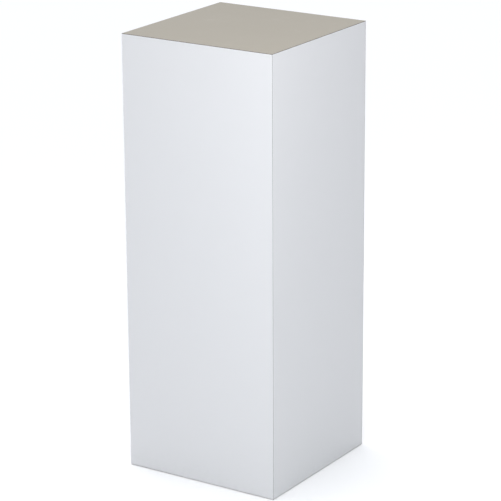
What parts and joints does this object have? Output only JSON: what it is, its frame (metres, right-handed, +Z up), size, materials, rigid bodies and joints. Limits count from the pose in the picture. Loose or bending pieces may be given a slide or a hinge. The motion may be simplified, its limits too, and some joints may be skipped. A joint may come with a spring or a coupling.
{
  "type": "display plinth",
  "caption": "Tall square laminate-clad display plinth with a flat top, open underneath, on screw-adjusted levelling feet hidden inside its base.",
  "frame": {"origin": "the middle of the footprint, on the floor", "axes": "+Z up along the plinth's height, -Y towards the front, +X to the right seen from the front"},
  "size_m": [0.292, 0.292, 0.762],
  "materials": {
    "side_laminate": "white high-pressure laminate with a fine suede finish",
    "top_laminate": "warm grey high-pressure laminate with a fine suede finish",
    "board": "medium-density fibreboard, smooth faces and fuzzy cut edges",
    "batten_wood": "planed softwood, unfinished",
    "block_wood": "planed beech, unfinished",
    "dowel_wood": "beech dowel",
    "screw": "yellow zinc plating",
    "tee_nut": "bright zinc plating",
    "foot_stem": "bright zinc plating",
    "foot_pad": "black moulded nylon",
    "foot_sole": "dark grey rubber"
  },
  "bodies": {
    "carcass": {"front_board": "board", "front_laminate": "side_laminate", "front_top_cleat": "batten_wood", "front_base_rail": "batten_wood", "back_board": "board", "back_laminate": "side_laminate", "back_top_cleat": "batten_wood", "back_base_rail": "batten_wood", "left_board": "board", "left_laminate": "side_laminate", "left_top_cleat": "batten_wood", "left_base_rail": "batten_wood", "right_board": "board", "right_laminate": "side_laminate", "right_top_cleat": "batten_wood", "right_base_rail": "batten_wood", "front_left_batten": "batten_wood", "front_left_foot_block": "block_wood", "front_left_tee_nut": "tee_nut", "front_left_dowels": "dowel_wood", "front_right_batten": "batten_wood", "front_right_foot_block": "block_wood", "front_right_tee_nut": "tee_nut", "front_right_dowels": "dowel_wood", "back_left_batten": "batten_wood", "back_left_foot_block": "block_wood", "back_left_tee_nut": "tee_nut", "back_left_dowels": "dowel_wood", "back_right_batten": "batten_wood", "back_right_foot_block": "block_wood", "back_right_tee_nut": "tee_nut", "back_right_dowels": "dowel_wood", "top_board": "board", "top_laminate": "top_laminate", "top_dowels": "dowel_wood", "batten_screws": "screw", "cleat_screws": "screw", "rail_screws": "screw", "block_screws": "screw"},
    "front_left_pad": {"front_left_foot_pad": "foot_pad", "front_left_foot_sole": "foot_sole"},
    "front_left_stem": {"front_left_foot_stem": "foot_stem"},
    "front_right_pad": {"front_right_foot_pad": "foot_pad", "front_right_foot_sole": "foot_sole"},
    "front_right_stem": {"front_right_foot_stem": "foot_stem"},
    "back_left_pad": {"back_left_foot_pad": "foot_pad", "back_left_foot_sole": "foot_sole"},
    "back_left_stem": {"back_left_foot_stem": "foot_stem"},
    "back_right_pad": {"back_right_foot_pad": "foot_pad", "back_right_foot_sole": "foot_sole"},
    "back_right_stem": {"back_right_foot_stem": "foot_stem"}
  },
  "joints": [
    {"name": "front_left_foot_height", "type": "slide", "parent": "carcass", "child": "front_left_pad", "axis": [0, 0, -1], "range_m": [0, 0.012]},
    {"name": "front_left_foot_turn", "type": "hinge", "parent": "front_left_pad", "child": "front_left_stem", "pos_m": [-0.1022, -0.1022, 0.02], "axis": [0, 0, -1], "range_deg": [0, 3456]},
    {"name": "front_right_foot_height", "type": "slide", "parent": "carcass", "child": "front_right_pad", "axis": [0, 0, -1], "range_m": [0, 0.012]},
    {"name": "front_right_foot_turn", "type": "hinge", "parent": "front_right_pad", "child": "front_right_stem", "pos_m": [0.1022, -0.1022, 0.02], "axis": [0, 0, -1], "range_deg": [0, 3456]},
    {"name": "back_left_foot_height", "type": "slide", "parent": "carcass", "child": "back_left_pad", "axis": [0, 0, -1], "range_m": [0, 0.012]},
    {"name": "back_left_foot_turn", "type": "hinge", "parent": "back_left_pad", "child": "back_left_stem", "pos_m": [-0.1022, 0.1022, 0.02], "axis": [0, 0, -1], "range_deg": [0, 3456]},
    {"name": "back_right_foot_height", "type": "slide", "parent": "carcass", "child": "back_right_pad", "axis": [0, 0, -1], "range_m": [0, 0.012]},
    {"name": "back_right_foot_turn", "type": "hinge", "parent": "back_right_pad", "child": "back_right_stem", "pos_m": [0.1022, 0.1022, 0.02], "axis": [0, 0, -1], "range_deg": [0, 3456]}
  ],
  "couplings": [
    {"joint": "front_left_foot_turn", "follows": "front_left_foot_height", "rad_per_m": 5026.5},
    {"joint": "front_right_foot_turn", "follows": "front_right_foot_height", "rad_per_m": 5026.5},
    {"joint": "back_left_foot_turn", "follows": "back_left_foot_height", "rad_per_m": 5026.5},
    {"joint": "back_right_foot_turn", "follows": "back_right_foot_height", "rad_per_m": 5026.5}
  ]
}
